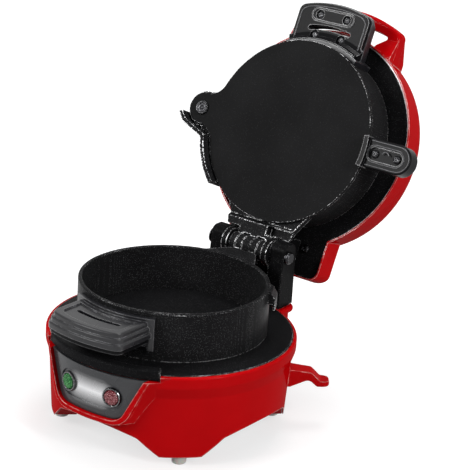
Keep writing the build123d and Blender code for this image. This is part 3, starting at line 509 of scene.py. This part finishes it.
def flaked(name, colour, flake, field, rough):
    """Grey plastic with metal flake, and a painted highlight: a light metallic field round both windows."""
    made, tree, shader = material(name, colour, Specular_IOR_Level=0.3)
    edge = placed(tree, soft_edge, Radius=0.0005)
    specks = placed(tree, coating_specks, Scale=5200.0, Share=0.5)
    grain = placed(tree, mould_grain, Scale=1600.0)
    place = wire(tree, "ShaderNodeSeparateXYZ", {0: object_place(tree)})
    sideways = wire(tree, "ShaderNodeMath", {0: place.outputs[0]}, operation="ABSOLUTE")
    past = between(tree, sideways.outputs[0], FIELD_X, FIELD_X + 0.02, 0, 0.02)
    over = wire(tree, "ShaderNodeMath", {0: place.outputs[2], 1: LENS_Z}, operation="SUBTRACT")
    flat = wire(tree, "ShaderNodeCombineXYZ", {0: past, 1: over.outputs[0]})
    reach = wire(tree, "ShaderNodeVectorMath", {0: flat.outputs[0]}, operation="LENGTH")
    # Painted highlight: a light metallic field round both windows, where the panel's highlight falls.
    painted_highlight_field = between(tree, reach.outputs["Value"], FIELD_HALF, 0.0)
    ground = two_tone(tree, specks.outputs["Speck"], colour, flake)
    tree.links.new(two_tone(tree, painted_highlight_field, ground, field), shader.inputs["Base Color"])
    flake_shine = between(tree, specks.outputs["Speck"], 0, 1, 0.15, 0.75)
    shine = wire(tree, "ShaderNodeMath", {0: flake_shine, 1: painted_highlight_field}, operation="MAXIMUM")
    tree.links.new(shine.outputs[0], shader.inputs["Metallic"])
    uneven(tree, shader, grain.outputs["Shade"], rough * 0.9, rough * 1.15)
    roughened(tree, shader, edge, grain, 0.08)
    return made


# The third colour is that of the painted highlight between the windows.
finish(flaked("gunmetal_plastic", (0.040, 0.041, 0.044), (0.13, 0.133, 0.14), (0.62, 0.62, 0.63), 0.26),
       "indicator_panel")

# Windows: domed lenses in tinted acrylic. Rows of small pyramids moulded in the face spread the light of the
# lamp behind. Their colour carries painted highlights: lighter on sharp edges and in a grid of small dots.
LENS_TURN, LENS_FACE_R = 12.4, 0.07658
facets = bpy.data.node_groups.new("lens_facets", "GeometryNodeTree")
given, out = node_inputs(facets, Pitch="Float", Rim="Float", Bulge="Float", Facet="Float", Finish="Material")
rows = 13
grid = wire(facets, "GeometryNodeMeshGrid", {"Vertices X": rows, "Vertices Y": rows})
side = wire(facets, "ShaderNodeMath", {0: given.outputs["Pitch"], 1: rows - 1.0}, operation="MULTIPLY")
facets.links.new(side.outputs[0], grid.inputs["Size X"])
facets.links.new(side.outputs[0], grid.inputs["Size Y"])
place = wire(facets, "GeometryNodeInputPosition")
away = wire(facets, "ShaderNodeVectorMath", {0: place.outputs[0]}, operation="LENGTH")
outside = wire(facets, "FunctionNodeCompare", {0: away.outputs["Value"], 1: given.outputs["Rim"]},
               data_type="FLOAT", operation="GREATER_THAN")
inside = wire(facets, "GeometryNodeDeleteGeometry",
              {"Geometry": grid.outputs[0], "Selection": outside.outputs[0]}, domain="POINT")
squared = wire(facets, "ShaderNodeMath", {0: away.outputs["Value"], 1: 2.0}, operation="POWER")
drop = wire(facets, "ShaderNodeMath",
            {0: squared.outputs[0], 1: given.outputs["Bulge"]}, operation="MULTIPLY")
sink = wire(facets, "ShaderNodeMath", {0: 0.0, 1: drop.outputs[0]}, operation="SUBTRACT")
lowered = wire(facets, "ShaderNodeCombineXYZ", {"Z": sink.outputs[0]})
domed = wire(facets, "GeometryNodeSetPosition",
             {"Geometry": inside.outputs[0], "Offset": lowered.outputs[0]})
tall = wire(facets, "ShaderNodeMath", {0: given.outputs["Facet"], 1: 0.8}, operation="MULTIPLY")
pyramid = wire(facets, "GeometryNodeMeshCone",
               {"Vertices": 6, "Radius Top": 0.0, "Radius Bottom": given.outputs["Facet"],
                "Depth": tall.outputs[0]})
planted = wire(facets, "GeometryNodeInstanceOnPoints",
               {"Points": domed.outputs[0], "Instance": pyramid.outputs[0]})
dressed(facets, planted.outputs[0], given, out)


def tinted(name, deep, bright):
    """Tinted acrylic with painted highlights: lighter on its sharp edges and in a grid of small dots."""
    made, tree, shader = material(name, deep, Roughness=0.08, Specular_IOR_Level=0.2)
    edge = placed(tree, soft_edge, Radius=0.0002, Patch_Scale=1500.0)
    grain = placed(tree, mould_grain, Scale=700.0)
    pips = placed(tree, coating_specks, Scale=1050.0, Share=1.0)
    # Painted highlight: the colour turns lighter on edges and on a grid of dots.
    painted_sparkle = wire(tree, "ShaderNodeMath", {0: edge.outputs["Patchy Edge"], 1: pips.outputs["Speck"]},
                   operation="MAXIMUM")
    tree.links.new(two_tone(tree, painted_sparkle.outputs[0], deep, bright), shader.inputs["Base Color"])
    roughened(tree, shader, edge, grain, 0.03)
    return made


for side, lens, slot, tint in (
        (-1, "green_lens", "green_window",
         tinted("green_acrylic", (0.006, 0.13, 0.022), (0.18, 0.72, 0.22))),
        (1, "red_lens", "red_window",
         tinted("red_acrylic", (0.16, 0.016, 0.022), (0.80, 0.38, 0.40)))):
    finish(tint, lens)
    around = math.radians(-90 + side * LENS_TURN)
    outwards = Vector((math.cos(around), math.sin(around), 0))
    pimples = repeated(lens + "_facets", facets, [(0, 0, 0)], Pitch=0.00095, Rim=0.0041, Bulge=38.0,
                       Facet=0.00046, Finish=tint)
    stand = Matrix((Vector((0, 0, 1)), outwards.cross(Vector((0, 0, 1))), outwards)).transposed().to_4x4()
    pimples.data.transform(Matrix.Translation(outwards * LENS_FACE_R + Vector((0, 0, LENS_Z))) @ stand)
    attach(pimples, "base")

# Lens bezels: thin rings of moulded plastic plated with dark chrome, which fill the gap between each
# window and its hole in the panel.
finish(blackened_steel("dark_chrome", (0.07, 0.07, 0.072), 0.10), "lens_bezels")

# Rings and cooking plate: die-cast aluminium with the same non-stick coating, a little glossier, and
# rubbed bright in places on the rims where a spatula and the plate slide over them.
ring_coating = coated("ring_coating", (0.0098, 0.0098, 0.0103), 0.38, (0.160, 0.160, 0.162), 0.22,
                      wear=0.85, wear_width=0.0014)
plate_coating = coated("plate_coating", (0.0112, 0.0112, 0.0115), 0.52, (0.060, 0.060, 0.062), 0.10,
                       wear=0.85, wear_width=0.0007)
finish(ring_coating, "bottom_ring", "top_ring")
finish(plate_coating, "cooking_plate")

# Grips: satin black heat-proof plastic. Each ring's grip is moulded in two halves that close over the
# ring's tab, and the plate's is one piece that takes its tab; all are screwed from below.
# The pale grey edge colours of both blacks below are painted highlights along their edges.
satin_black = moulded("satin_black", (0.0125, 0.0125, 0.0148), (0.0195, 0.0195, 0.0222), 0.28,
                      1500.0, 0.12, edge_radius=0.0008, edge_highlight=(0.22, 0.22, 0.235),
                      Specular_IOR_Level=0.34, Coat_Roughness=0.15)
polished_black = moulded("polished_black", (0.0050, 0.0050, 0.0056), (0.0075, 0.0075, 0.0082), 0.24,
                         1100.0, 0.12, edge_radius=0.0007, edge_highlight=(0.16, 0.16, 0.17),
                         Specular_IOR_Level=0.05, Coat_Roughness=0.08)
# Painted highlight: the beads' plastic is coloured lighter than the grips it is moulded with.
bead_highlight_black = moulded("bead_highlight_black", (0.035, 0.035, 0.038), (0.075, 0.075, 0.080), 0.20, 900.0, 0.10,
                       edge_radius=0.0003, Specular_IOR_Level=0.5)
finish(satin_black, "bottom_ring_handle", "top_ring_handle", "cord_gland")
finish(polished_black, "bottom_handle_cover", "top_handle_cover", "plate_handle")
RING_OPEN, LID_OPEN = 113.8, 115.0
LOWER_GRIP_LEVEL, UPPER_GRIP_LEVEL, PLATE_GRIP_LEVEL = 73.1, 103.1, 89.0
GRIP_SCREW = (2.6, 1.4, 1.4, 7.5)
grip_seats = [(x, y) for x in (-10.0, 10.0) for y in (-64.0, -77.0)]
screws("bottom_handle_screws", "base", [(x, y, LOWER_GRIP_LEVEL) for x, y in grip_seats], 0, GRIP_SCREW, 11)
screws("top_handle_screws", "upper_ring", [(x, y, UPPER_GRIP_LEVEL) for x, y in grip_seats], RING_OPEN,
       GRIP_SCREW, 5)
screws("plate_handle_screws", "swing_plate", [(x, 0, PLATE_GRIP_LEVEL) for x in (65.9, 81.5)], RING_OPEN,
       (2.6, 1.5, 1.6, 6.4), 8)


# Mouldings on the undersides of the upper ring's grip and the plate's: raised beads along the grip's
# outline, and round the slot that holds the plate handle's screws, in one with the plastic. Their lighter
# colour is a painted highlight along the raised lines.
beads = bpy.data.node_groups.new("raised_beads", "GeometryNodeTree")
given, out = node_inputs(beads, Bead="Float", Spacing="Float", Finish="Material")
line = wire(beads, "GeometryNodeMeshToCurve", {"Mesh": given.outputs["Geometry"]})
even = wire(beads, "GeometryNodeResampleCurve",
            {"Curve": line.outputs[0], "Length": given.outputs["Spacing"]}, mode="LENGTH")
round_bead = wire(beads, "GeometryNodeCurvePrimitiveCircle",
                  {"Resolution": 8, "Radius": given.outputs["Bead"]})
raised = wire(beads, "GeometryNodeCurveToMesh",
              {"Curve": even.outputs[0], "Profile Curve": round_bead.outputs[0], "Fill Caps": True})
smooth = wire(beads, "GeometryNodeSetShadeSmooth", {"Geometry": raised.outputs[0]})
dressed(beads, smooth.outputs[0], given, out)


def arc(cx, cy, radius, first, last, steps=24):
    """Points in millimetres on part of a circle, seen from above."""
    return [(cx + radius * math.cos(math.radians(first + (last - first) * i / steps)),
             cy + radius * math.sin(math.radians(first + (last - first) * i / steps)))
            for i in range(steps + 1)]


def beaded(name, body, paths, level, radius):
    """Beads along flat paths of the shut machine, raised from a grip's underside at one level."""
    points, edges = [], []
    for path, closed in paths:
        first = len(points)
        points += [swung((x / 1000, y / 1000, level / 1000), RING_OPEN) for x, y in path]
        edges += [(i, i + 1) for i in range(first, len(points) - 1)]
        if closed:
            edges.append((len(points) - 1, first))
    mesh = bpy.data.meshes.new(name + "_paths")
    mesh.from_pydata(points, edges, [])
    made = with_tree(mesh, name, beads, Bead=radius / 1000, Spacing=0.0008, Finish=bead_highlight_black)
    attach(made, body)


def slot_path(left, right, half):
    """A closed path round a slot along X with round ends."""
    return arc(right, 0, half, -90, 90) + arc(left, 0, half, 90, 270)


BEAD_HALF, BEAD_BACK = 24.2, -57.5
CORNER_X, CORNER_Y, CORNER_R = 19.6, -75.4, 4.6
FRONT_Y, FRONT_R = 12.4, 95.2
front_bead = [(BEAD_HALF, BEAD_BACK), (BEAD_HALF, -75.5)] + arc(CORNER_X, CORNER_Y, CORNER_R, 0, -72, 8) \
    + arc(0, FRONT_Y, FRONT_R, -78, -102, 16) + arc(-CORNER_X, CORNER_Y, CORNER_R, -108, -180, 8) \
    + [(-BEAD_HALF, BEAD_BACK)]
beaded("top_cover_beads", "upper_ring", [(front_bead, False)], 101.45, 0.45)
HANDLE_ROOT, HANDLE_END, HANDLE_HALF = 61.5, 82.6, 7.6
handle_bead = [(HANDLE_ROOT, -HANDLE_HALF)] + arc(HANDLE_END, 0, HANDLE_HALF, -90, 90) \
    + [(HANDLE_ROOT, HANDLE_HALF)]
beaded("plate_handle_beads", "swing_plate",
       [(handle_bead, False), (slot_path(66.0, 81.4, 5.3), True), (arc(73.7, 0, 2.6, 200, 340, 8), False)],
       87.35, 0.4)


# Hinge: two posts cast in one with their foot, and knuckles on the rings and the lid's arms, on one
# steel pin with a plain head and a spring clip.
hinge_coating = coated("hinge_paint", (0.0050, 0.0050, 0.0053), 0.34, (0.14, 0.14, 0.14), 0.12,
                       wear=0.9, wear_width=0.0012, bump=0.45)
finish(hinge_coating, "hinge_posts", "lid_hinge_arms")
finish(black_steel, "hinge_pin", "hinge_pin_clip")

# Rivet: the turned steel rivet that the cooking plate swings on, with a rolled rim and a dimple in
# the head under the plate, and its other end closed above the ring's ear.
RIVET_X = -0.0674
rivet = turned_solid("plate_rivet", [
    (r / 1000, z / 1000) for r, z in (
        (0, 88.75), (0.7, 88.8), (1.5, 89.25), (2.5, 89.25), (3.0, 88.55), (3.8, 88.4), (4.4, 88.75),
        (4.6, 89.2), (4.6, 89.9), (3.0, 89.9), (3.0, 97.3), (4.6, 97.3), (4.2, 98.5), (2.0, 99.05),
        (0, 99.1))], 40)
for corner in rivet.data.vertices:
    corner.co = swung(corner.co + Vector((RIVET_X, 0, 0)), RING_OPEN)
rivet.data.materials.append(black_steel)
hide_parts("plate_pivot")
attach(rivet, "upper_ring")

# Upper heating plate: coated like the lower one, with a painted highlight: a thin ring of bright metal on the
# rim of its flange, where it meets the lid.
LID_AXIS_Y, RIM_HIGHLIGHT_R, TAIL_Y = -0.0015, 0.0685, 0.052
rim_highlight_look = nonstick.copy()
rim_highlight_look.name = "nonstick_with_turned_rim"
tree = rim_highlight_look.node_tree
shader = tree.nodes["Principled BSDF"]
shut_again = Matrix.Rotation(math.radians(LID_OPEN), 3, "X")
shut = wire(tree, "ShaderNodeMapping",
            {"Vector": object_place(tree), "Rotation": (math.radians(LID_OPEN), 0, 0),
             "Location": HINGE - shut_again @ HINGE - Vector((0, LID_AXIS_Y, 0))})
level_place = wire(tree, "ShaderNodeVectorMath", {0: shut.outputs[0], 1: (1, 1, 0)}, operation="MULTIPLY")
from_axis = wire(tree, "ShaderNodeVectorMath", {0: level_place.outputs[0]}, operation="LENGTH")
along = wire(tree, "ShaderNodeSeparateXYZ", {0: shut.outputs[0]})
# Painted highlight: bright metal outside the rim radius, but not on the flange's tail.
painted_rim_highlight = wire(tree, "ShaderNodeMath",
            {0: between(tree, from_axis.outputs["Value"], RIM_HIGHLIGHT_R, RIM_HIGHLIGHT_R + 0.0001),
             1: between(tree, along.outputs[1], TAIL_Y, TAIL_Y - 0.003)}, operation="MULTIPLY").outputs[0]
for socket, metal in (("Base Color", (0.92, 0.92, 0.93)), ("Metallic", (1, 1, 1))):
    coating = shader.inputs[socket].links[0].from_socket
    tree.links.new(two_tone(tree, painted_rim_highlight, coating, metal), shader.inputs[socket])
finish(rim_highlight_look, "upper_heating_plate")

# Lid: a red dome moulded in the bowl's plastic, with a loop handle screwed on from inside its wall.
# Screws from below hold the upper heating plate and the hinge's arms to it.
PLATE_SEAT, ARM_SEAT = 116.5, 114.3
finish(glossy_red, "lid_housing", "lid_handle")
screws("upper_plate_screws", "lid",
       [(x, y, PLATE_SEAT) for x, y in ((-21.5, 66.3), (21.5, 66.3), (-13.0, -63.0), (13.0, -63.0))],
       LID_OPEN, (2.9, 1.5, 1.5, 12), 21)
screws("lid_hinge_screws", "lid", [(x, 75.5, ARM_SEAT) for x in (-7.0, 7.0)], LID_OPEN,
       (2.9, 1.5, 1.5, 14), 2)
finish(black_steel, "lid_handle_screws")
